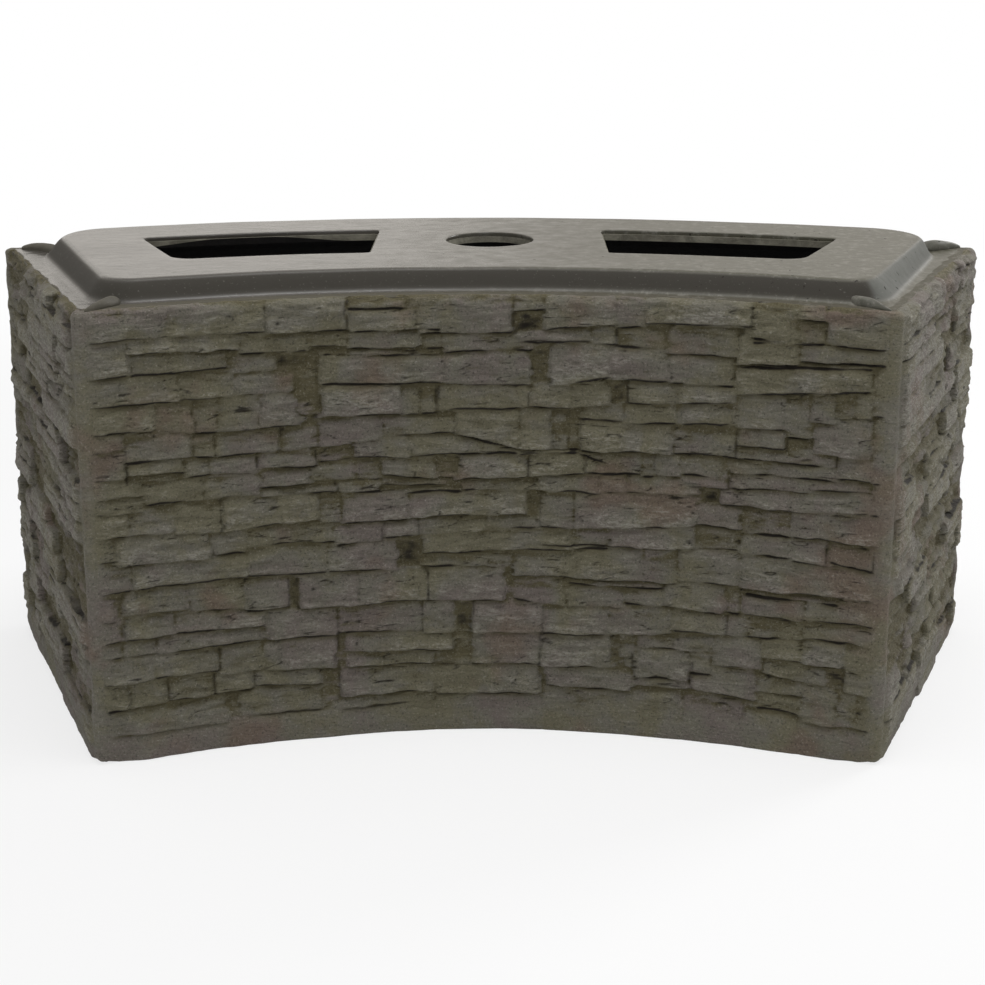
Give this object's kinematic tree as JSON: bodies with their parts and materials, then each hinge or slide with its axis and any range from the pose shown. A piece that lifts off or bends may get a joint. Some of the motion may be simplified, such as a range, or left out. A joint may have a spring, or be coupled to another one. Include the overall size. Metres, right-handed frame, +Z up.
{
  "type": "garden wall fountain base section",
  "caption": "Hollow curved base section of a stackable garden wall fountain, with stacked-slate walls, a raised locating plinth, hand openings and a hole for the water pipe.",
  "frame": {"origin": "centre of the overall box, on the plane that the section stands on", "axes": "+Z up, +X along the section to the right as seen from its concave front, +Y towards its convex rear"},
  "size_m": [0.815, 0.3578, 0.353],
  "materials": {
    "slate_facing": "matt split-slate relief, dark grey with an olive wash",
    "smooth_deck": "smooth trowelled grey with a slight sheen",
    "rough_backing": "rough sprayed fibre-reinforced mortar",
    "bonding_mortar": "brushed mortar fillet"
  },
  "bodies": {
    "root": {"corner_bead_front_left": "slate_facing", "corner_bead_front_right": "slate_facing", "corner_bead_rear_left": "slate_facing", "corner_bead_rear_right": "slate_facing", "corner_cove_front_left": "bonding_mortar", "corner_cove_front_right": "bonding_mortar", "corner_cove_rear_left": "bonding_mortar", "corner_cove_rear_right": "bonding_mortar", "deck_backing": "rough_backing", "deck_cove_front": "bonding_mortar", "deck_cove_left_end": "bonding_mortar", "deck_cove_rear": "bonding_mortar", "deck_cove_right_end": "bonding_mortar", "deck_face": "smooth_deck", "front_backing": "rough_backing", "front_facing": "slate_facing", "ledge_stub_front_left": "smooth_deck", "ledge_stub_front_right": "smooth_deck", "ledge_stub_rear_left": "smooth_deck", "ledge_stub_rear_right": "smooth_deck", "left_end_backing": "rough_backing", "left_end_facing": "slate_facing", "rear_backing": "rough_backing", "rear_facing": "slate_facing", "right_end_backing": "rough_backing", "right_end_facing": "slate_facing"}
  },
  "joints": []
}
